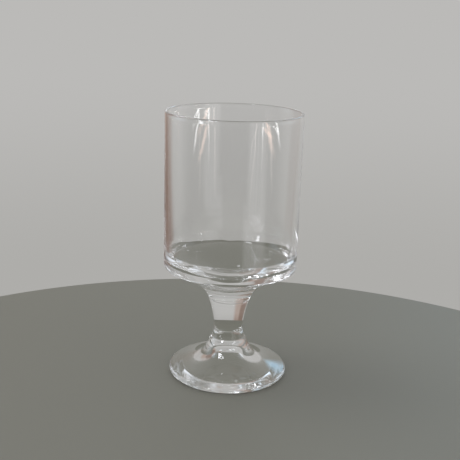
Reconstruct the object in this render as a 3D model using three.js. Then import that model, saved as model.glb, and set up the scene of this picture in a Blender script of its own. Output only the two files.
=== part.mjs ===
// Stemmed drinking glass in clear soda-lime glass.
// Three gathers fused hot, one on the other: a conical foot, a short waisted stem and a straight bowl.
// Millimetres, +Z up. The origin is on the axis, at the level of the ring that the foot rests on.
import * as THREE from 'three';

// Heights, stacked from the table up
const FOOT_HEIGHT = 18.5;          // table to the seat of the stem
const STEM_LENGTH = 20.5;          // seat on the foot to seat under the bowl
const BOWL_HEIGHT = 93.0;          // seat under the bowl to the top of the lip

// Foot
const FOOT_DIAMETER = 59.6;        // widest, at the rounded edge
const FOOT_EDGE_RADIUS = 1.4;      // fire-polished edge
const FOOT_SLOPE = 11.7;           // degrees, rise of the upper face next to the edge
const FOOT_SLOPE_REACH = 17.7;     // how far that slope carries towards the stem
const FOOT_FLARE_REACH = 7.65;     // how far the stem's line carries down into the foot
const FOOT_FLARE_ANGLE = 61.2;     // degrees, steepness of the upper face at the stem
const RESTING_RING_WIDTH = 6.4;    // flat ring that touches the table
const HOLLOW_HEIGHT = 11.35;       // top of the hollow under the foot
const HOLLOW_SHOULDER = 20.3;      // how far the shallow part of the hollow runs in from the ring
const HOLLOW_SHOULDER_RISE = 3.75; // how much it rises on the way
const HOLLOW_CROWN = 9.6;          // half width of the rounded top of the hollow

// Stem
const STEM_FOOT_DIAMETER = 16.6;   // seat on the foot
const STEM_WAIST_DIAMETER = 14.3;  // narrowest
const STEM_WAIST_HEIGHT = 4.5;     // waist above the seat on the foot
const STEM_FOOT_ANGLE = 59.6;      // degrees, steepness at the seat on the foot
const STEM_FOOT_REACH = 1.1;       // how far that steepness carries up
const STEM_WAIST_REACH_DOWN = 0.7; // how far the waist stays upright below its narrowest place
const STEM_WAIST_REACH_UP = 3.2;   // and above it
const STEM_BOWL_DIAMETER = 21.2;   // seat under the bowl
const STEM_BOWL_ANGLE = 65.3;      // degrees, steepness at the seat under the bowl
const STEM_BOWL_REACH = 4.4;       // how far that steepness carries down

// Bowl, outside
const RIM_DIAMETER = 66.0;         // outside, at the lip
const HEEL_DIAMETER = 65.8;        // outside, at the corner where wall and underside meet
const HEEL_HEIGHT = 17.2;          // that corner above the seat
const HEEL_RADIUS = 1.7;           // rounding of the corner
const UNDERSIDE_SLOPE = 27.3;      // degrees, rise of the cone under the bowl
const UNDERSIDE_REACH = 13.7;      // how far the cone runs in from the corner
const UNDERSIDE_FLARE_ANGLE = 72.1; // degrees, steepness of the underside at the stem
const UNDERSIDE_FLARE_REACH = 7.25; // how far that steepness carries out

// Bowl, inside
const LIP_THICKNESS = 1.3;         // bead of the fire-polished lip
const NECK_THICKNESS = 1.05;       // thinnest place, just under the bead
const NECK_DEPTH = 2.5;            // that place, below the top of the lip
const WALL_THICKNESS = 1.6;        // at the foot of the wall, where it begins to round into the floor
const WALL_FOOT_HEIGHT = 24.5;     // that place, above the seat
const WALL_FOOT_TILT = 0.6;        // degrees, how far the inside leans in there
const WALL_TAPER_REACH = 24.0;     // how far that lean carries up
const WALL_FOOT_REACH = 2.0;       // and down
const THICKENING = 1.25;           // how much the wall gains down to the inner corner
const THICKENING_DROP = 6.1;       // how far the corner lies below the foot of the wall
const CORNER_TILT = 17;            // degrees, how far the wall leans in by then
const CORNER_TILT_REACH = 1.8;     // how far that lean carries up
const CORNER_RADIUS = 0.2;         // rounding of the corner
const FLOOR_EDGE_SLOPE = 6;        // degrees, rise of the dished floor at its edge
const FLOOR_HEIGHT = 13.9;         // inner floor on the axis, above the seat

// Fineness of the facets
const SECTORS = 72;                // round the axis
const CURVE_STEPS = 8;             // along each curve of a profile
const LONG_CURVE_STEPS = 12;       // along the long curves of the foot

const STEM_SEAT = FOOT_HEIGHT;
const BOWL_SEAT = STEM_SEAT + STEM_LENGTH;
const LIP_TOP = BOWL_SEAT + BOWL_HEIGHT;

const point = (radius, height) => new THREE.Vector2(radius, height);

// A point that lies a given reach away from another, in a direction given in degrees above outward.
function away(from, degrees, reach) {
  const angle = THREE.MathUtils.degToRad(degrees);
  return point(from.x + reach * Math.cos(angle), from.y + reach * Math.sin(angle));
}

function line(...points) {
  return points;
}

function curve(start, startHandle, endHandle, end, steps = CURVE_STEPS) {
  return new THREE.CubicBezierCurve(start, startHandle, endHandle, end).getPoints(steps);
}

function arc(centre, radius, fromDegrees, toDegrees, steps) {
  const from = THREE.MathUtils.degToRad(fromDegrees);
  const to = THREE.MathUtils.degToRad(toDegrees);
  return new THREE.EllipseCurve(centre.x, centre.y, radius, radius, from, to, to < from).getPoints(steps);
}

// Joins stretches of a profile end to end and turns them about the upright axis.
function turned(...stretches) {
  const profile = [];
  for (const next of stretches.flat()) {
    const last = profile.at(-1);
    if (!last || last.distanceTo(next) > 1e-6) profile.push(next);
  }
  return new THREE.LatheGeometry(profile, SECTORS).rotateX(Math.PI / 2);
}

function clearGlass() {
  return new THREE.MeshStandardMaterial({
    color: 0xf2f6f4,
    roughness: 0.03,
    metalness: 0,
    transparent: true,
    opacity: 0.35,
  });
}

function piece(name, geometry) {
  const mesh = new THREE.Mesh(geometry, clearGlass());
  mesh.name = name;
  return mesh;
}

// Foot: hollow underneath, a flat ring to stand on, a rounded edge and a cone that rises to the stem.
function foot() {
  const edgeCentre = point(FOOT_DIAMETER / 2 - FOOT_EDGE_RADIUS, FOOT_EDGE_RADIUS);
  const ringOuter = point(edgeCentre.x, 0);
  const ringInner = point(ringOuter.x - RESTING_RING_WIDTH, 0);
  const hollowTop = point(0, HOLLOW_HEIGHT);
  const hollow = curve(
    hollowTop,
    point(HOLLOW_CROWN, HOLLOW_HEIGHT),
    point(ringInner.x - HOLLOW_SHOULDER, HOLLOW_SHOULDER_RISE),
    ringInner,
    LONG_CURVE_STEPS,
  );
  const edge = arc(edgeCentre, FOOT_EDGE_RADIUS, -90, 90 - FOOT_SLOPE, CURVE_STEPS);
  const edgeTop = edge.at(-1);
  const seat = point(STEM_FOOT_DIAMETER / 2, STEM_SEAT);
  const upperFace = curve(
    edgeTop,
    away(edgeTop, 180 - FOOT_SLOPE, FOOT_SLOPE_REACH),
    away(seat, -FOOT_FLARE_ANGLE, FOOT_FLARE_REACH),
    seat,
    LONG_CURVE_STEPS,
  );
  return piece('foot', turned(hollow, line(ringOuter), edge, upperFace, line(point(0, STEM_SEAT))));
}

// Stem: solid, narrowest low down, flaring up to the bowl.
function stem() {
  const lowerSeat = point(STEM_FOOT_DIAMETER / 2, STEM_SEAT);
  const upperSeat = point(STEM_BOWL_DIAMETER / 2, BOWL_SEAT);
  const waist = point(STEM_WAIST_DIAMETER / 2, STEM_SEAT + STEM_WAIST_HEIGHT);
  const below = curve(
    lowerSeat,
    away(lowerSeat, 180 - STEM_FOOT_ANGLE, STEM_FOOT_REACH),
    away(waist, -90, STEM_WAIST_REACH_DOWN),
    waist,
    CURVE_STEPS / 2,
  );
  const above = curve(
    waist,
    away(waist, 90, STEM_WAIST_REACH_UP),
    away(upperSeat, STEM_BOWL_ANGLE - 180, STEM_BOWL_REACH),
    upperSeat,
  );
  return piece('stem', turned(line(point(0, STEM_SEAT)), below, above, line(point(0, BOWL_SEAT))));
}

// Bowl: the underside flares off the stem into a cone, rounds the heel and goes up a straight wall to
// a bead at the lip. Inside, the wall thickens towards its foot and turns sharply onto a dished floor.
function bowl() {
  const seat = point(STEM_BOWL_DIAMETER / 2, BOWL_SEAT);
  const lean = THREE.MathUtils.radToDeg(
    Math.atan2((RIM_DIAMETER - HEEL_DIAMETER) / 2, BOWL_HEIGHT - HEEL_HEIGHT),
  );
  const wallDirection = 90 - lean;
  const corner = point(HEEL_DIAMETER / 2, BOWL_SEAT + HEEL_HEIGHT);
  const halfTurn = THREE.MathUtils.degToRad((wallDirection - UNDERSIDE_SLOPE) / 2);
  const coneEnd = away(corner, UNDERSIDE_SLOPE - 180, HEEL_RADIUS * Math.tan(halfTurn));
  const underside = curve(
    seat,
    away(seat, UNDERSIDE_FLARE_ANGLE, UNDERSIDE_FLARE_REACH),
    away(coneEnd, UNDERSIDE_SLOPE - 180, UNDERSIDE_REACH),
    coneEnd,
    CURVE_STEPS + 2,
  );
  const heelCentre = away(coneEnd, UNDERSIDE_SLOPE + 90, HEEL_RADIUS);
  const heel = arc(heelCentre, HEEL_RADIUS, UNDERSIDE_SLOPE - 90, wallDirection - 90, CURVE_STEPS / 2);

  const beadRadius = LIP_THICKNESS / 2;
  const bead = arc(point(RIM_DIAMETER / 2 - beadRadius, LIP_TOP - beadRadius), beadRadius, 0, 180, CURVE_STEPS);
  const beadEnd = bead.at(-1);
  const neck = point(RIM_DIAMETER / 2 - NECK_THICKNESS, LIP_TOP - NECK_DEPTH);
  const belowBead = curve(
    beadEnd,
    away(beadEnd, -90, beadRadius),
    away(neck, 90, beadRadius),
    neck,
    CURVE_STEPS / 2,
  );

  const wallFoot = point(HEEL_DIAMETER / 2 - WALL_THICKNESS, BOWL_SEAT + WALL_FOOT_HEIGHT);
  const innerWall = curve(
    neck,
    away(neck, -90, WALL_TAPER_REACH),
    away(wallFoot, 90 - WALL_FOOT_TILT, WALL_TAPER_REACH),
    wallFoot,
  );
  const wallEnd = point(wallFoot.x - THICKENING, wallFoot.y - THICKENING_DROP);
  const thickening = curve(
    wallFoot,
    away(wallFoot, -90 - WALL_FOOT_TILT, WALL_FOOT_REACH),
    away(wallEnd, 90 - CORNER_TILT, CORNER_TILT_REACH),
    wallEnd,
  );
  const cornerCentre = away(wallEnd, 180 - CORNER_TILT, CORNER_RADIUS);
  const innerCorner = arc(cornerCentre, CORNER_RADIUS, -CORNER_TILT, FLOOR_EDGE_SLOPE - 90, CURVE_STEPS / 2);
  const floorEdge = innerCorner.at(-1);
  const floorMiddle = point(0, BOWL_SEAT + FLOOR_HEIGHT);
  const floor = curve(
    floorEdge,
    away(floorEdge, FLOOR_EDGE_SLOPE - 180, floorEdge.x / 3),
    point(floorEdge.x / 3, floorMiddle.y),
    floorMiddle,
  );

  const outside = [...line(point(0, BOWL_SEAT)), ...underside, ...heel];
  const inside = [...belowBead, ...innerWall, ...thickening, ...innerCorner, ...floor];
  return piece('bowl', turned(outside, bead, inside));
}

const stemmedGlass = new THREE.Group();
stemmedGlass.name = 'stemmed_glass';
stemmedGlass.add(foot(), stem(), bowl());

export default stemmedGlass;
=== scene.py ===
import math
from typing import NamedTuple

import bpy
from mathutils import Matrix, Vector


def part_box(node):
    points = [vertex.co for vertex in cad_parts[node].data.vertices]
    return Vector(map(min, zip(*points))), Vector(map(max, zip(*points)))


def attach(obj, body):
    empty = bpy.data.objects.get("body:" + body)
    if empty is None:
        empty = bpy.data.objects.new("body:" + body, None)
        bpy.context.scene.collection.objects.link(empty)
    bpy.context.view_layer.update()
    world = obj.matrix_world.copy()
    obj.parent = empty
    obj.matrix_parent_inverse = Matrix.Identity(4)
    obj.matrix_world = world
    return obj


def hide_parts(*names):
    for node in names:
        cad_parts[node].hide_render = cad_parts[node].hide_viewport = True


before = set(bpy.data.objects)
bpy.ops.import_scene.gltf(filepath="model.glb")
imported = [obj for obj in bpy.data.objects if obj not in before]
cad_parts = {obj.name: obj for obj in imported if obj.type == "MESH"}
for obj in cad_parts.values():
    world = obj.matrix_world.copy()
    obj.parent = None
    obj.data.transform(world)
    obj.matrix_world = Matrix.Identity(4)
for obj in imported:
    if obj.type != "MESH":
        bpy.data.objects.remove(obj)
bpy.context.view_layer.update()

MM = 0.001

# Sizes from the frame, in millimetres
_, bowl_high = (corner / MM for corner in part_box("bowl"))
stem_low, stem_high = (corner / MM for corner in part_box("stem"))
foot_low, foot_high = (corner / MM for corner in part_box("foot"))
RIM_RADIUS = bowl_high.x
LIP_TOP = bowl_high.z
BOWL_SEAT = stem_high.z
BOWL_SEAT_RADIUS = stem_high.x
STEM_SEAT = stem_low.z
FOOT_RADIUS = foot_high.x
TABLE_LEVEL = foot_low.z

# Sizes of the foot, in millimetres and degrees
FOOT_EDGE_RADIUS = 1.4
FOOT_SLOPE = 11.7            # rise of the upper face next to the edge
FOOT_SLOPE_REACH = 17.7      # how far that slope carries towards the stem
FOOT_FLARE_ANGLE = 61.2      # steepness of the upper face at the stem
FOOT_FLARE_REACH = 7.65      # how far that steepness carries down
RESTING_RING_WIDTH = 6.4
HOLLOW_HEIGHT = 11.35
HOLLOW_CROWN = 9.6           # how far the rounded top of the hollow carries out from the axis
HOLLOW_SHOULDER = 20.3       # how far the shallow part of the hollow carries in from the ring
HOLLOW_SHOULDER_RISE = 3.75  # how much it rises on the way

# Sizes of the stem, in millimetres and degrees
STEM_SEAT_RADIUS = 8.3
WAIST_RADIUS = 7.15
WAIST_HEIGHT = 4.5           # above the seat on the foot
STEM_FOOT_ANGLE = 59.6       # steepness at the seat on the foot
STEM_FOOT_REACH = 1.1        # how far that steepness carries up
WAIST_REACH_DOWN = 0.7       # how far the waist stays upright below its narrowest place
WAIST_REACH_UP = 3.2         # and above it
STEM_BOWL_ANGLE = 65.3       # steepness at the seat under the bowl
STEM_BOWL_REACH = 4.4        # how far that steepness carries down

# Sizes of the bowl, in millimetres and degrees
HEEL_INSET = 0.1             # the wall leans in by this much from lip to heel
HEEL_HEIGHT = 17.07          # corner of wall and underside, above the seat
HEEL_ROUNDING = 1.84
UNDERSIDE_SLOPE = 26.71      # rise of the cone next to the heel
UNDERSIDE_REACH = 13.44      # how far that slope carries in
UNDERSIDE_FLARE_ANGLE = 73.54  # steepness of the underside at the stem
UNDERSIDE_FLARE_REACH = 7.69   # how far that steepness carries up
LIP_BEAD = 1.3               # thickness of the fire-polished bead at the lip
NECK_DEPTH = 2.5             # where the bead has thinned to the wall, below the lip
NECK_THICKNESS = 1.2
NECK_REACH = 10.0            # how far down the inside stays upright from there
WALL_THICKNESS = 2.1         # at the foot of the wall, where it begins to round into the floor
WALL_FOOT_HEIGHT = 25.86     # that place, above the seat
WALL_FOOT_TILT = 4.8         # lean of the inside there
WALL_FOOT_REACH_UP = 3.0     # how far the inside keeps to that lean above
WALL_FOOT_REACH_DOWN = 1.5   # and below
THICKENING = 1.66            # what the wall gains from its foot to the inner corner
THICKENING_DROP = 6.3        # height between the two
CORNER_TILT = 29.41          # lean of the inside at the corner
CORNER_TILT_REACH = 1.71     # how far the inside keeps to that lean above
CORNER_ROUNDING = 0.17
FLOOR_EDGE_SLOPE = 1.13
FLOOR_HEIGHT = 11.8          # floor on the axis, above the seat

# Joins, where two gathers are fused, in millimetres
JOIN_GROOVE_DEPTH = 0.10     # crease that is left in the skin
JOIN_GROOVE_WIDTH = 0.45
SEAT_FLATNESS = 0.001        # a face this close to a seat's height lies on it
NO_SEAT = -1000.0            # a height that no face has, for an end with no join

# Unevenness of the bowl's skin, in millimetres
WAVE_DEPTH = 0.16            # upright waves in the wall
WAVE_LENGTH_ROUND = 10.0
WAVE_LENGTH_UP = 28.0
WAVE_FROM_BASE = (62.0, 75.0)    # heights between which the waves grow
WAVE_FROM_LIP = (1.0, 8.0)       # depths below the lip between which they grow
RIPPLE_DEPTH = 0.06          # short ripples in the base
RIPPLE_LENGTH = 5.0
RIPPLE_FROM_STEM = (11.0, 16.0)  # radii between which the ripples grow
RIPPLE_FROM_WALL = (68.0, 60.0)  # heights between which they grow
SKIN_SEED = 3.0

# Fineness of the meshes
STEPS_ROUND = 240
SEAM_GAP = 0.0001            # points closer than this many millimetres are one

# Table top, in millimetres and degrees
TABLE_RADIUS = 250.0
TABLE_FORWARD = 113.4        # its middle, in front of the glass
TABLE_SIDES = 256
CONTACT_GAP = 0.05           # air under the resting ring, which bears on a few high places only
PAINTED_SHEEN_FROM_FOOT = (70.0, 140.0)  # distances to the front between which the painted sheen grows
PAINTED_SHEEN_FROM_FRONT = (16.0, 24.0)  # angles from the front to the right between which the painted sheen grows
PAINTED_SHEEN_FROM_RIGHT = (60.0, 52.0)  # and those between which the painted sheen grows from the other side

# Tones of the surround, and where they set in, as parts of a direction of length one
BACK_PALES_UP = (-0.33, -0.08)
WARM_PALES_UP = (-0.32, -0.10)
WARM_DARKENS_LEFT = (-0.42, -0.54)
WARM_FROM_MIDDLE = (-0.16, -0.31)
WARM_FROM_LEFT = (-0.88, -0.78)
WARM_FROM_FRONT = (0.3, 0.0)
BACK_FROM_FRONT = (0.25, -0.25)
PALE_FROM_MIDDLE = (0.36, 0.50)
GREY_FROM_MIDDLE = (0.74, 0.86)
TOP_FROM_BELOW = (0.25, 0.70)
STREAKS_ROUND = 22.0         # streaks in the pale part of the front, for each radian
STREAK_PALES = (0.35, 0.65)  # strengths of a streak between which it grows pale
FILL_LIGHT = 0.79            # strength of the even light on the table

# How often a ray has been reflected, let through or scattered
NEVER = 0.0
ONCE = 1.0


class Panel(NamedTuple):
    """A bright area of the surround. Its place, half width and soft edge are degrees from the front to the
    right. Its bottom and top are pairs of heights, in parts of a direction of length one, between which it
    grows. Its lean is how many degrees it would turn to the left over a height of one."""
    name: str
    place: float
    half_width: float
    soft_edge: float
    bottom: tuple
    top: tuple
    colour: str
    strength: float
    lean: float = 0.0
    on_skin_alone: bool = False


# Strips and a bar of light at the front right, two softboxes at the front left, a patch at the back right
# for the outer skin alone, and dim cool panels at both sides
PANELS = (
    Panel("slim strip", 73.0, 1.9, 1.0, (-0.182, -0.150), (-0.09, -0.11), "#FFFFFF", 9.0, lean=270.0),
    Panel("warm strip", 54.0, 3.2, 1.8, (-0.192, -0.160), (-0.122, -0.145), "#FFDCC8", 6.0, lean=400.0),
    Panel("low strip", 60.0, 1.2, 0.8, (-0.240, -0.200), (-0.165, -0.180), "#FFF4EC", 1.6, lean=100.0),
    Panel("upright strip", 47.0, 1.0, 0.6, (-0.195, -0.145), (-0.09, -0.11), "#FFFFFF", 5.0),
    Panel("long strip", 36.0, 0.8, 0.5, (-0.290, -0.130), (-0.09, -0.11), "#FFF2EC", 3.0, lean=-80.0),
    Panel("level bar", 56.0, 11.0, 1.5, (-0.129, -0.125), (-0.117, -0.120), "#FFFFFF", 5.0),
    Panel("low softbox", -55.0, 3.0, 1.0, (0.02, 0.05), (0.30, 0.26), "#F6F8FF", 12.0),
    Panel("high softbox", -40.0, 9.0, 1.0, (0.46, 0.50), (0.72, 0.68), "#F6F8FF", 16.0),
    Panel("blue patch", 161.0, 4.0, 3.5, (0.24, 0.42), (0.58, 0.42), "#A8DCFF", 3.5, on_skin_alone=True),
    Panel("right side", 100.0, 20.0, 6.0, (-0.10, 0.05), (0.60, 0.40), "#DCE8F8", 0.6),
    Panel("left side", -100.0, 14.0, 5.0, (-0.05, 0.05), (0.60, 0.40), "#C8E2FA", 0.9),
)
LEAN_PIVOT = -0.15           # height at which a leaning panel is in its place

# Skylight, in millimetres and watts
SKYLIGHT_PLACE = (-1000.0, 250.0, 1600.0)
SKYLIGHT_AIM = (0.0, 0.0, 70.0)
SKYLIGHT_SIDE = 900.0
SKYLIGHT_WATTS = 6.0

# Camera, in millimetres and degrees
CAMERA_PLACE = (0.0, -376.85, 181.46)
CAMERA_LENS = 62.42
CAMERA_SENSOR = 36.0
CAMERA_PITCH = 15.946        # downwards
CAMERA_ROLL = 1.698
CAMERA_YAW = -0.089

LONGEST_LIGHT_PATH = 160


# Profiles: lists of (radius, height) in millimetres, from the axis out, up and back to the axis

def away(start, degrees, reach):
    """The point a given reach from another, in a direction in degrees above outward."""
    angle = math.radians(degrees)
    return (start[0] + reach * math.cos(angle), start[1] + reach * math.sin(angle))


def curve(start, start_handle, end_handle, end, steps):
    """Points along a cubic curve that sets out towards one handle and comes in from the other."""
    points = []
    for step in range(steps + 1):
        t = step / steps
        weights = ((1 - t) ** 3, 3 * (1 - t) ** 2 * t, 3 * (1 - t) * t ** 2, t ** 3)
        corners = (start, start_handle, end_handle, end)
        points.append(tuple(sum(w * c[axis] for w, c in zip(weights, corners)) for axis in (0, 1)))
    return points


def arc(centre, radius, from_degrees, to_degrees, steps):
    """Points round a centre, between two directions in degrees above outward."""
    turn = (to_degrees - from_degrees) / steps
    return [away(centre, from_degrees + turn * step, radius) for step in range(steps + 1)]


def straight(start, end, steps):
    """Points along a line, closer together towards its ends."""
    return curve(start, start, end, end, steps)


def joined(*stretches):
    """Stretches end to end, each shared end once."""
    points = []
    for point in (p for stretch in stretches for p in stretch):
        if not points or math.dist(points[-1], point) > SEAM_GAP:
            points.append(point)
    return points


def creased(points, seat):
    """Draws a profile in beside a seat, as the skin of fused glass does."""
    drawn = []
    for radius, height in points:
        groove = JOIN_GROOVE_DEPTH * math.exp(-((height - seat) / JOIN_GROOVE_WIDTH) ** 2)
        drawn.append((radius - groove, height))
    return drawn


def foot_profile():
    """From the top of the hollow out over the resting ring and the edge, and up to the stem."""
    edge_centre = (FOOT_RADIUS - FOOT_EDGE_RADIUS, TABLE_LEVEL + FOOT_EDGE_RADIUS)
    ring_outer = (edge_centre[0], TABLE_LEVEL)
    ring_inner = (ring_outer[0] - RESTING_RING_WIDTH, TABLE_LEVEL)
    hollow_top = (0.0, TABLE_LEVEL + HOLLOW_HEIGHT)
    hollow = curve(
        hollow_top,
        (HOLLOW_CROWN, hollow_top[1]),
        (ring_inner[0] - HOLLOW_SHOULDER, TABLE_LEVEL + HOLLOW_SHOULDER_RISE),
        ring_inner,
        steps=60,
    )
    ring = straight(ring_inner, ring_outer, steps=8)
    edge = arc(edge_centre, FOOT_EDGE_RADIUS, -90, 90 - FOOT_SLOPE, steps=20)
    seat = (STEM_SEAT_RADIUS, STEM_SEAT)
    upper = curve(
        edge[-1],
        away(edge[-1], 180 - FOOT_SLOPE, FOOT_SLOPE_REACH),
        away(seat, -FOOT_FLARE_ANGLE, FOOT_FLARE_REACH),
        seat,
        steps=80,
    )
    return joined(hollow, ring, edge, creased(upper, STEM_SEAT), [(0.0, STEM_SEAT)])


def stem_profile():
    """From the seat on the foot in to the waist, and out to the seat under the bowl."""
    lower_seat = (STEM_SEAT_RADIUS, STEM_SEAT)
    upper_seat = (BOWL_SEAT_RADIUS, BOWL_SEAT)
    waist = (WAIST_RADIUS, STEM_SEAT + WAIST_HEIGHT)
    below = curve(
        lower_seat,
        away(lower_seat, 180 - STEM_FOOT_ANGLE, STEM_FOOT_REACH),
        away(waist, -90, WAIST_REACH_DOWN),
        waist,
        steps=30,
    )
    above = curve(
        waist,
        away(waist, 90, WAIST_REACH_UP),
        away(upper_seat, STEM_BOWL_ANGLE - 180, STEM_BOWL_REACH),
        upper_seat,
        steps=60,
    )
    side = creased(creased(joined(below, above), STEM_SEAT), BOWL_SEAT)
    return joined([(0.0, STEM_SEAT)], side, [(0.0, BOWL_SEAT)])


def bowl_outside():
    """From the stem over the cone and the heel and up the wall to the bead."""
    seat = (BOWL_SEAT_RADIUS, BOWL_SEAT)
    heel = (RIM_RADIUS - HEEL_INSET, BOWL_SEAT + HEEL_HEIGHT)
    half_turn = math.radians(45 - UNDERSIDE_SLOPE / 2)
    cone_end = away(heel, UNDERSIDE_SLOPE - 180, HEEL_ROUNDING * math.tan(half_turn))
    under = curve(
        seat,
        away(seat, UNDERSIDE_FLARE_ANGLE, UNDERSIDE_FLARE_REACH),
        away(cone_end, UNDERSIDE_SLOPE - 180, UNDERSIDE_REACH),
        cone_end,
        steps=60,
    )
    heel_centre = away(cone_end, UNDERSIDE_SLOPE + 90, HEEL_ROUNDING)
    round_heel = arc(heel_centre, HEEL_ROUNDING, UNDERSIDE_SLOPE - 90, 0, steps=14)
    wall_top = (RIM_RADIUS, LIP_TOP - LIP_BEAD / 2)
    return joined(creased(under, BOWL_SEAT), round_heel, straight(round_heel[-1], wall_top, steps=40))


def bowl_lip():
    """Over the bead, to where it has thinned to the wall."""
    bead_radius = LIP_BEAD / 2
    bead = arc((RIM_RADIUS - bead_radius, LIP_TOP - bead_radius), bead_radius, 0, 180, steps=18)
    neck = (RIM_RADIUS - NECK_THICKNESS, LIP_TOP - NECK_DEPTH)
    thinning = curve(bead[-1], away(bead[-1], -90, bead_radius), away(neck, 90, bead_radius), neck, steps=12)
    return joined(bead, thinning)


def bowl_inside(neck):
    """From the neck under the bead down the inside of the wall, round the corner and in over the floor."""
    wall_foot = (RIM_RADIUS - HEEL_INSET - WALL_THICKNESS, BOWL_SEAT + WALL_FOOT_HEIGHT)
    wall = curve(
        neck,
        away(neck, -90, NECK_REACH),
        away(wall_foot, 90 - WALL_FOOT_TILT, WALL_FOOT_REACH_UP),
        wall_foot,
        steps=50,
    )
    corner = (wall_foot[0] - THICKENING, wall_foot[1] - THICKENING_DROP)
    thickening = curve(
        wall_foot,
        away(wall_foot, -90 - WALL_FOOT_TILT, WALL_FOOT_REACH_DOWN),
        away(corner, 90 - CORNER_TILT, CORNER_TILT_REACH),
        corner,
        steps=24,
    )
    corner_centre = away(corner, 180 - CORNER_TILT, CORNER_ROUNDING)
    round_corner = arc(corner_centre, CORNER_ROUNDING, -CORNER_TILT, FLOOR_EDGE_SLOPE - 90, steps=12)
    floor_edge = round_corner[-1]
    floor_middle = (0.0, BOWL_SEAT + FLOOR_HEIGHT)
    third = floor_edge[0] / 3
    floor = curve(
        floor_edge,
        away(floor_edge, FLOOR_EDGE_SLOPE - 180, third),
        (third, floor_middle[1]),
        floor_middle,
        steps=40,
    )
    return joined(wall, thickening, round_corner, floor)


def bowl_profile():
    """From the seat on the stem up the outside, over the lip and down the inside to the floor's middle."""
    lip = bowl_lip()
    return joined([(0.0, BOWL_SEAT)], bowl_outside(), lip, bowl_inside(lip[-1]))


# Materials

def linear(hex_colour):
    """An sRGB hex colour as linear red, green, blue and alpha."""
    channels = [int(hex_colour[place:place + 2], 16) / 255 for place in (1, 3, 5)]
    return (*(c / 12.92 if c <= 0.04045 else ((c + 0.055) / 1.055) ** 2.4 for c in channels), 1.0)


def add(tree, kind, inputs=None, **settings):
    """Adds a node and sets its properties. An input takes a value, a socket, or a node's first output."""
    node = tree.nodes.new(kind)
    for name, value in settings.items():
        setattr(node, name, value)
    for key, value in (inputs or {}).items():
        if isinstance(value, bpy.types.Node):
            value = value.outputs[0]
        if isinstance(value, bpy.types.NodeSocket):
            tree.links.new(value, node.inputs[key])
        else:
            node.inputs[key].default_value = value
    return node


def within(tree, *limits, of=1.0):
    """How much of a share is left within limits. A limit is a value, where it leaves nothing and where it
    leaves everything, easing in and out between them."""
    share = of
    for value, nothing, everything in limits:
        remaining = add(tree, "ShaderNodeMapRange", {
            "Value": value, "From Min": nothing, "From Max": everything,
        }, interpolation_type="SMOOTHSTEP")
        share = add(tree, "ShaderNodeMath", {0: share, 1: remaining}, operation="MULTIPLY")
    return share


def layered(tree, base, *layers):
    """A base colour with others laid over it in turn, each within its own limits."""
    shown = base
    for colour, *limits in layers:
        # Inputs 6 and 7 and output 2 are the colours, because the node has like-named ones for numbers
        mix = add(tree, "ShaderNodeMix", {0: within(tree, *limits), 6: shown, 7: colour}, data_type="RGBA")
        shown = mix.outputs[2]
    return shown


def from_axis(tree, place):
    """How far a place or direction lies right, to the front and up, and its angle from front to right."""
    right, back, up = add(tree, "ShaderNodeSeparateXYZ", {0: place}).outputs
    front = add(tree, "ShaderNodeMath", {0: back, 1: -1.0}, operation="MULTIPLY")
    round_right = add(tree, "ShaderNodeMath", {0: right, 1: front}, operation="ARCTAN2")
    return right, front, up, round_right


def new_material(name):
    """An empty node material and its tree."""
    material = bpy.data.materials.new(name)
    material.use_nodes = True
    material.node_tree.nodes.clear()
    return material, material.node_tree


def blown_glass():
    """Soda-lime glass, blown and fire-polished: clear, with a liquid gloss and no grain of its own."""
    material, tree = new_material("soda_lime_glass_fire_polished")
    shader = add(tree, "ShaderNodeBsdfPrincipled", {
        "Base Color": linear("#FFFFFF"),
        "Roughness": 0.0,
        "IOR": 1.52,
        "Transmission Weight": 1.0,
    })
    add(tree, "ShaderNodeOutputMaterial", {"Surface": shader})
    return material


def fused_join():
    """Where two gathers have melted into one there is no surface left to see, so light goes straight on."""
    material, tree = new_material("fused_glass_join")
    shader = add(tree, "ShaderNodeBsdfTransparent", {"Color": linear("#FFFFFF")})
    add(tree, "ShaderNodeOutputMaterial", {"Surface": shader})
    return material


def table_lacquer():
    """Satin lacquer on a board: a sage grey with a soft sheen of its own. Through the glass and in a gloss
    it is an even painted glow, much the same as beside the glass but a little darker as painted shade under
    it, with a painted sheen at the front right.
    """
    material, tree = new_material("satin_lacquer_sage_grey")
    board = add(tree, "ShaderNodeBsdfPrincipled", {"Base Color": linear("#7B7B73"), "Roughness": 0.5})
    path = add(tree, "ShaderNodeLightPath").outputs

    # The painted sheen: a pale glow, seen in reflections alone, that stands for the lacquer throwing light
    # up at the glass from the front right, well away from its foot
    position = add(tree, "ShaderNodeNewGeometry").outputs["Position"]
    _, front, _, round_right = from_axis(tree, position)
    painted_sheen = (
        linear("#E6E6E6"),
        (path["Glossy Depth"], NEVER, ONCE),
        (front, *(distance * MM for distance in PAINTED_SHEEN_FROM_FOOT)),
        (round_right, *(math.radians(angle) for angle in PAINTED_SHEEN_FROM_FRONT)),
        (round_right, *(math.radians(angle) for angle in PAINTED_SHEEN_FROM_RIGHT)),
    )
    shown = layered(tree, linear("#74746C"), painted_sheen)
    # The even glow is painted light: the lit board's tone, a little darker as painted shade under the glass,
    # for rays through the glass or in a gloss
    even = add(tree, "ShaderNodeEmission", {"Color": shown, "Strength": 1.0})
    through = add(tree, "ShaderNodeMath", {
        0: path["Is Transmission Ray"], 1: path["Is Glossy Ray"],
    }, operation="MAXIMUM")
    mixed = add(tree, "ShaderNodeMixShader", {0: through, 1: board, 2: even})
    add(tree, "ShaderNodeOutputMaterial", {"Surface": mixed})
    return material


# Turning a profile into a piece

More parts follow.
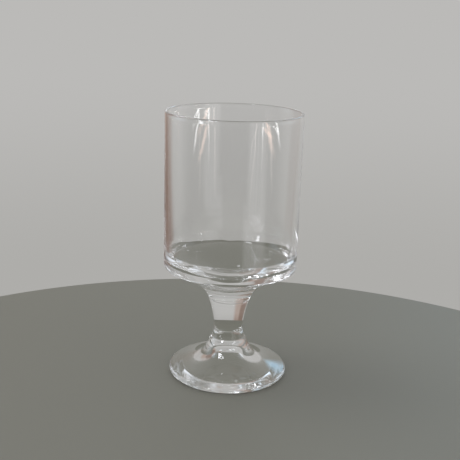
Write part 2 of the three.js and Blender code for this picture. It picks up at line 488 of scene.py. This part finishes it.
def turned_skin(tree, given):
    """Turns the profile about the upright axis. Gives the skin, and the depths of its waves and ripples."""
    position = add(tree, "GeometryNodeInputPosition")

    # A grid with a column for each step round and a row for each point of the profile
    size = add(tree, "GeometryNodeAttributeDomainSize", {"Geometry": given["Profile"]}, component="MESH")
    rows = size.outputs["Point Count"]
    columns = add(tree, "ShaderNodeMath", {0: given["Steps round"], 1: 1.0}, operation="ADD")
    grid = add(tree, "GeometryNodeMeshGrid", {
        "Size X": 1.0, "Size Y": 1.0, "Vertices X": columns, "Vertices Y": rows,
    })
    index = add(tree, "GeometryNodeInputIndex")
    row = add(tree, "ShaderNodeMath", {0: index, 1: rows}, operation="MODULO")

    def of_row(value, kind):
        """What a value is at the profile's point for the row."""
        return add(tree, "GeometryNodeSampleIndex", {
            "Geometry": given["Profile"], "Value": value, "Index": row,
        }, data_type=kind, domain="POINT").outputs[0]

    kept = add(tree, "GeometryNodeCaptureAttribute", {"Geometry": grid}, domain="POINT")
    for name in ("wave", "ripple"):
        depth = add(tree, "GeometryNodeInputNamedAttribute", {"Name": name}, data_type="FLOAT")
        kept.capture_items.new("FLOAT", name)
        tree.links.new(of_row(depth, "FLOAT"), kept.inputs[name])
    column = add(tree, "ShaderNodeSeparateXYZ", {0: position}).outputs["X"]
    angle = add(tree, "ShaderNodeMath", {0: column, 1: math.tau}, operation="MULTIPLY")
    place = add(tree, "ShaderNodeVectorRotate", {
        "Vector": of_row(position, "FLOAT_VECTOR"), "Angle": angle,
    }, rotation_type="Z_AXIS")
    turned = add(tree, "GeometryNodeSetPosition", {"Geometry": kept, "Position": place})
    closed = add(tree, "GeometryNodeMergeByDistance", {"Geometry": turned, "Distance": SEAM_GAP * MM})
    return closed, kept.outputs["wave"], kept.outputs["ripple"]


def uneven_skin(tree, given, skin, wave, ripple):
    """Moves the skin along its normal: waves that are deepest at front and back, and ripples all round."""
    position = add(tree, "GeometryNodeInputPosition")
    right, back, _ = add(tree, "ShaderNodeSeparateXYZ", {0: position}).outputs
    back_squared = add(tree, "ShaderNodeMath", {0: back, 1: 2.0}, operation="POWER")
    radius_squared = add(tree, "ShaderNodeMath", {
        0: right, 1: right, 2: back_squared,
    }, operation="MULTIPLY_ADD")
    facing = add(tree, "ShaderNodeMath", {0: back_squared, 1: radius_squared}, operation="DIVIDE")
    facing_squared = add(tree, "ShaderNodeMath", {0: facing, 1: 2.0}, operation="POWER")
    facing_wave = add(tree, "ShaderNodeMath", {0: wave, 1: facing_squared}, operation="MULTIPLY")
    wave_lengths = add(tree, "ShaderNodeCombineXYZ", {
        0: given["Wave length round"], 1: given["Wave length round"], 2: given["Wave length up"],
    })
    ripple_lengths = add(tree, "ShaderNodeCombineXYZ", {axis: given["Ripple length"] for axis in range(3)})
    swell = 0.0
    for depth, lengths in ((facing_wave, wave_lengths), (ripple, ripple_lengths)):
        scaled = add(tree, "ShaderNodeVectorMath", {0: position, 1: lengths}, operation="DIVIDE")
        noise = add(tree, "ShaderNodeTexNoise", {
            "Vector": scaled, "W": given["Seed"], "Scale": 1.0, "Detail": 2.0,
        }, noise_dimensions="4D")
        centred = add(tree, "ShaderNodeMath", {0: noise, 1: 0.5}, operation="SUBTRACT")
        swell = add(tree, "ShaderNodeMath", {0: centred, 1: depth, 2: swell}, operation="MULTIPLY_ADD")
    normal = add(tree, "GeometryNodeInputNormal")
    offset = add(tree, "ShaderNodeVectorMath", {0: normal, "Scale": swell}, operation="SCALE")
    return add(tree, "GeometryNodeSetPosition", {"Geometry": skin, "Offset": offset})


def finished_skin(tree, given, skin):
    """Makes the skin smooth glass, and the flat faces at the height of a join fused glass."""
    position = add(tree, "GeometryNodeInputPosition")
    height = add(tree, "ShaderNodeSeparateXYZ", {0: position}).outputs["Z"]
    at_lower, at_upper = (
        add(tree, "FunctionNodeCompare", {"A": height, "B": given[name], "Epsilon": SEAT_FLATNESS * MM},
            data_type="FLOAT", operation="EQUAL")
        for name in ("Lower join", "Upper join")
    )
    join = add(tree, "FunctionNodeBooleanMath", {0: at_lower, 1: at_upper}, operation="OR")
    blown = add(tree, "FunctionNodeBooleanMath", {0: join}, operation="NOT")
    smooth = add(tree, "GeometryNodeSetShadeSmooth", {"Geometry": skin, "Shade Smooth": blown})
    real = add(tree, "GeometryNodeRealizeInstances", {"Geometry": smooth})
    glass = add(tree, "GeometryNodeSetMaterial", {"Geometry": real, "Material": given["Glass"]})
    return add(tree, "GeometryNodeSetMaterial", {
        "Geometry": glass, "Selection": join, "Material": given["Join"],
    })


def turning_tree():
    """Geometry Nodes that turn a profile about the upright axis and let the skin swell a little."""
    tree = bpy.data.node_groups.new("turned glass", "GeometryNodeTree")
    sockets = (
        ("Profile", "INPUT", "NodeSocketGeometry"),
        ("Steps round", "INPUT", "NodeSocketInt"),
        ("Wave length round", "INPUT", "NodeSocketFloat"),
        ("Wave length up", "INPUT", "NodeSocketFloat"),
        ("Ripple length", "INPUT", "NodeSocketFloat"),
        ("Seed", "INPUT", "NodeSocketFloat"),
        ("Lower join", "INPUT", "NodeSocketFloat"),
        ("Upper join", "INPUT", "NodeSocketFloat"),
        ("Glass", "INPUT", "NodeSocketMaterial"),
        ("Join", "INPUT", "NodeSocketMaterial"),
        ("Piece", "OUTPUT", "NodeSocketGeometry"),
    )
    for name, way, kind in sockets:
        tree.interface.new_socket(name, in_out=way, socket_type=kind)
    given = add(tree, "NodeGroupInput").outputs
    skin, wave, ripple = turned_skin(tree, given)
    skin = uneven_skin(tree, given, skin, wave, ripple)
    add(tree, "NodeGroupOutput", {"Piece": finished_skin(tree, given, skin)})
    return tree


def turned_piece(name, node, profile, depths, tree, inputs):
    """Turns a profile into a plain mesh that stands for a CAD node."""
    outline = bpy.data.meshes.new(name)
    points = [(radius * MM, 0.0, height * MM) for radius, height in profile]
    outline.from_pydata(points, [(i, i + 1) for i in range(len(points) - 1)], [])
    for kind, depth in depths.items():
        values = outline.attributes.new(kind, "FLOAT", "POINT")
        values.data.foreach_set("value", [depth(*point) * MM for point in profile])
    maker = bpy.data.objects.new(name, outline)
    bpy.context.scene.collection.objects.link(maker)
    modifier = maker.modifiers.new("turn", "NODES")
    modifier.node_group = tree
    for socket in tree.interface.items_tree:
        if socket.name in inputs:
            modifier[socket.identifier] = inputs[socket.name]
    plain = bpy.data.meshes.new_from_object(maker.evaluated_get(bpy.context.evaluated_depsgraph_get()))
    bpy.data.objects.remove(maker)
    plain.name = name
    piece = bpy.data.objects.new(name, plain)
    bpy.context.scene.collection.objects.link(piece)
    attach(piece, "root")
    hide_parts(node)


# The glass

def ramp(value, start, end):
    """0 at start, 1 at end, easing in and out."""
    t = min(max((value - start) / (end - start), 0.0), 1.0)
    return t * t * (3 - 2 * t)


def wall_wave(radius, height):
    """Depth of the waves at a point of the bowl."""
    return WAVE_DEPTH * ramp(height, *WAVE_FROM_BASE) * ramp(LIP_TOP - height, *WAVE_FROM_LIP)


def base_ripple(radius, height):
    """Depth of the ripples at a point of the bowl."""
    return RIPPLE_DEPTH * ramp(radius, *RIPPLE_FROM_STEM) * ramp(height, *RIPPLE_FROM_WALL)


def still(radius, height):
    """Depth of waves and ripples in the stem and the foot, which are even."""
    return 0.0


def build_glass():
    """Bowl, stem and foot, each turned from its own profile."""
    tree = turning_tree()
    shared = {
        "Steps round": STEPS_ROUND,
        "Wave length round": WAVE_LENGTH_ROUND * MM,
        "Wave length up": WAVE_LENGTH_UP * MM,
        "Ripple length": RIPPLE_LENGTH * MM,
        "Seed": SKIN_SEED,
        "Glass": blown_glass(),
        "Join": fused_join(),
    }
    uneven = {"wave": wall_wave, "ripple": base_ripple}
    even = {"wave": still, "ripple": still}
    pieces = (
        ("blown_bowl", "bowl", bowl_profile(), uneven, BOWL_SEAT, NO_SEAT),
        ("drawn_stem", "stem", stem_profile(), even, STEM_SEAT, BOWL_SEAT),
        ("spread_foot", "foot", foot_profile(), even, NO_SEAT, STEM_SEAT),
    )
    for name, node, profile, depths, lower, upper in pieces:
        joins = {"Lower join": lower * MM, "Upper join": upper * MM}
        turned_piece(name, node, profile, depths, tree, {**shared, **joins})


# Stage: table top, surround, light and camera

def build_table():
    """The upper face of a round board."""
    middle = Vector((0.0, -TABLE_FORWARD * MM, (TABLE_LEVEL - CONTACT_GAP) * MM))
    angles = [math.tau * side / TABLE_SIDES for side in range(TABLE_SIDES)]
    corners = [middle + TABLE_RADIUS * MM * Vector((math.cos(a), math.sin(a), 0.0)) for a in angles]
    mesh = bpy.data.meshes.new("table_top")
    mesh.from_pydata(corners, [], [range(TABLE_SIDES)])
    mesh.materials.append(table_lacquer())
    table = bpy.data.objects.new("table_top", mesh)
    bpy.context.scene.collection.objects.link(table)


def surround_colour(tree, aim, path):
    """Pale all round. What the glass shows at the left is warm, and reflections see a dim front that is pale
    and streaked at the right."""
    right, front, up, round_right = aim
    # The backdrop is darker low down, near the table, and paler higher up: painted shade
    back_tone = layered(tree, linear("#AEADAA"), (linear("#BBBAB8"), (up, *BACK_PALES_UP)))
    warm_tone = layered(
        tree, linear("#7A6258"),
        (linear("#AC9C93"), (up, *WARM_PALES_UP)),
        (linear("#87746A"), (right, *WARM_DARKENS_LEFT)),
    )
    streak = add(tree, "ShaderNodeTexNoise", {
        "W": round_right, "Scale": STREAKS_ROUND, "Detail": 2.0,
    }, noise_dimensions="1D")
    pale_tone = layered(tree, linear("#C8C8C8"), (linear("#FFFFFF"), (streak, *STREAK_PALES)))
    front_tone = layered(
        tree, linear("#2C2B29"),
        (pale_tone, (right, *PALE_FROM_MIDDLE)),
        (linear("#6A6967"), (right, *GREY_FROM_MIDDLE)),
    )
    out_of_view = (path["Is Camera Ray"], 1.0, 0.0)
    warm_place = ((right, *WARM_FROM_MIDDLE), (right, *WARM_FROM_LEFT), (front, *WARM_FROM_FRONT))
    return layered(
        tree, back_tone,
        (front_tone, (path["Glossy Depth"], NEVER, ONCE)),
        (back_tone, (front, *BACK_FROM_FRONT)),
        (warm_tone, *warm_place, out_of_view),
        (linear("#B4B4B2"), (up, *TOP_FROM_BELOW)),
    )


def panel_strength(tree, panel, aim, rays):
    """A panel's strength within its edges, and none outside them, for a share of the rays."""
    _, _, up, round_right = aim
    lean = math.radians(panel.lean)
    middle = math.radians(panel.place) + LEAN_PIVOT * lean
    upright = add(tree, "ShaderNodeMath", {0: up, 1: lean, 2: round_right}, operation="MULTIPLY_ADD")
    offset = add(tree, "ShaderNodeMath", {0: upright, 1: middle}, operation="SUBTRACT")
    aside = add(tree, "ShaderNodeMath", {0: offset}, operation="ABSOLUTE")
    outer = math.radians(panel.half_width + panel.soft_edge)
    inner = math.radians(panel.half_width - panel.soft_edge)
    share = within(tree, (aside, outer, inner), (up, *panel.bottom), (up, *panel.top), of=rays)
    return add(tree, "ShaderNodeMath", {0: share, 1: panel.strength}, operation="MULTIPLY")


def build_world():
    """The rays that see the surround straight on, in a gloss or through the glass get its colours, and in
    reflections also its bright panels. All other rays get an even light."""
    world = bpy.data.worlds.new("studio")
    world.use_nodes = True
    bpy.context.scene.world = world
    tree = world.node_tree
    tree.nodes.clear()
    aim = from_axis(tree, add(tree, "ShaderNodeTexCoord").outputs["Generated"])
    path = add(tree, "ShaderNodeLightPath").outputs
    in_reflections = within(tree, (path["Glossy Depth"], NEVER, ONCE))
    on_skin = within(tree, (path["Transmission Depth"], ONCE, NEVER), of=in_reflections)

    surround = add(tree, "ShaderNodeBackground", {"Color": surround_colour(tree, aim, path)})
    for panel in PANELS:
        rays = on_skin if panel.on_skin_alone else in_reflections
        glow = add(tree, "ShaderNodeBackground", {
            "Color": linear(panel.colour), "Strength": panel_strength(tree, panel, aim, rays),
        }, label=panel.name)
        surround = add(tree, "ShaderNodeAddShader", {0: surround, 1: glow})

    fill = add(tree, "ShaderNodeBackground", {"Color": linear("#FFFFFF"), "Strength": FILL_LIGHT})
    seen = path["Is Camera Ray"]
    for kind in ("Is Glossy Ray", "Is Transmission Ray"):
        seen = add(tree, "ShaderNodeMath", {0: seen, 1: path[kind]}, operation="MAXIMUM")
    shows_surround = within(tree, (path["Diffuse Depth"], ONCE, NEVER), of=seen)
    mixed = add(tree, "ShaderNodeMixShader", {0: shows_surround, 1: fill, 2: surround})
    add(tree, "ShaderNodeOutputWorld", {"Surface": mixed})


def build_skylight():
    """A large soft light high at the left. It lights the table and doesn't show in the glass."""
    light = bpy.data.lights.new("skylight_left", "AREA")
    light.shape = "SQUARE"
    light.size = SKYLIGHT_SIDE * MM
    light.energy = SKYLIGHT_WATTS
    lamp = bpy.data.objects.new("skylight_left", light)
    lamp.location = Vector(SKYLIGHT_PLACE) * MM
    lamp.rotation_mode = "QUATERNION"
    lamp.rotation_quaternion = (Vector(SKYLIGHT_AIM) - Vector(SKYLIGHT_PLACE)).to_track_quat("-Z", "Y")
    lamp.visible_camera = False
    lamp.visible_glossy = False
    lamp.visible_transmission = False
    bpy.context.scene.collection.objects.link(lamp)


def allow_long_light_paths():
    """Light that is caught in thick glass is reflected many times before it finds a way out."""
    paths = bpy.context.scene.cycles
    paths.max_bounces = LONGEST_LIGHT_PATH
    paths.glossy_bounces = LONGEST_LIGHT_PATH
    paths.transmission_bounces = LONGEST_LIGHT_PATH


def build_camera():
    """A camera at the photograph's place, height and tilt."""
    pitch, roll, yaw = (math.radians(angle) for angle in (CAMERA_PITCH, CAMERA_ROLL, CAMERA_YAW))
    forward = Vector((math.sin(yaw) * math.cos(pitch), math.cos(yaw) * math.cos(pitch), -math.sin(pitch)))
    level = Vector((math.cos(yaw), -math.sin(yaw), 0.0))
    upward = level.cross(forward)
    right = level * math.cos(roll) + upward * math.sin(roll)
    up = upward * math.cos(roll) - level * math.sin(roll)
    data = bpy.data.cameras.new("camera")
    data.sensor_width = CAMERA_SENSOR
    data.lens = CAMERA_LENS
    camera = bpy.data.objects.new("camera", data)
    axes = Matrix((right, up, -forward)).transposed()
    place = Vector([length * MM for length in CAMERA_PLACE])
    camera.matrix_world = Matrix.Translation(place) @ axes.to_4x4()
    bpy.context.scene.collection.objects.link(camera)
    bpy.context.scene.camera = camera


bpy.context.scene.view_settings.view_transform = "Standard"
allow_long_light_paths()
build_camera()
build_table()
build_world()
build_skylight()
build_glass()
